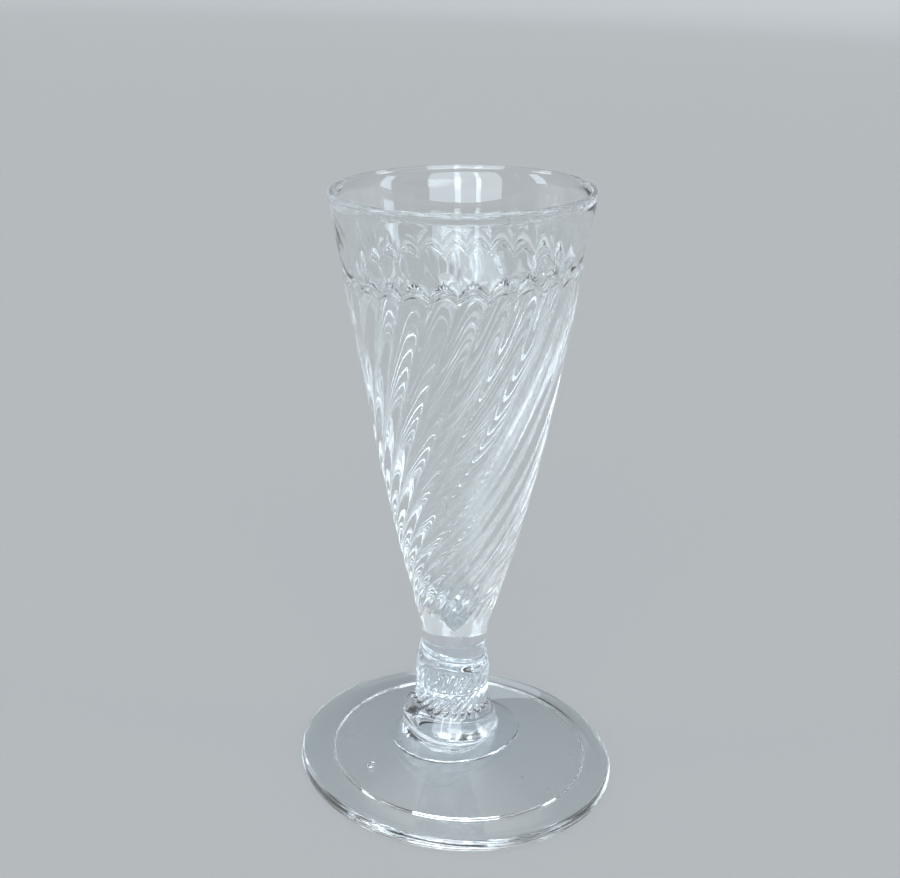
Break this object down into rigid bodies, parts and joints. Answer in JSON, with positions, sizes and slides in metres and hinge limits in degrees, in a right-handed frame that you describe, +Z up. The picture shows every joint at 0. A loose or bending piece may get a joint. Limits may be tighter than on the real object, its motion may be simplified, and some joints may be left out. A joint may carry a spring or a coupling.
{
  "type": "wrythen ale glass",
  "caption": "Small stemmed drinking glass: tall conical bowl wrapped in twisted ribs below a plain rim, on a ribbed knop, boss and folded conical foot.",
  "frame": {"origin": "centre of the plane that the foot rests on", "axes": "+Z up along the stem, +X to the right and +Y away as the picture shows the glass"},
  "size_m": [0.0696, 0.0696, 0.131],
  "materials": {
    "thin_glass": "fire-polished, clear and nearly colourless",
    "thick_glass": "fire-polished, with a faint cool blue-grey cast where it is thick",
    "broken_glass": "rough, snapped off and left unground"
  },
  "bodies": {
    "root": {"bowl": "thin_glass", "wrythen_overlay": "thin_glass", "neck": "thick_glass", "knop_upper_tier": "thick_glass", "knop_lower_tier": "thick_glass", "foot_boss": "thick_glass", "foot_plate": "thin_glass", "foot_fold": "thin_glass", "pontil_scar": "broken_glass"}
  },
  "joints": []
}
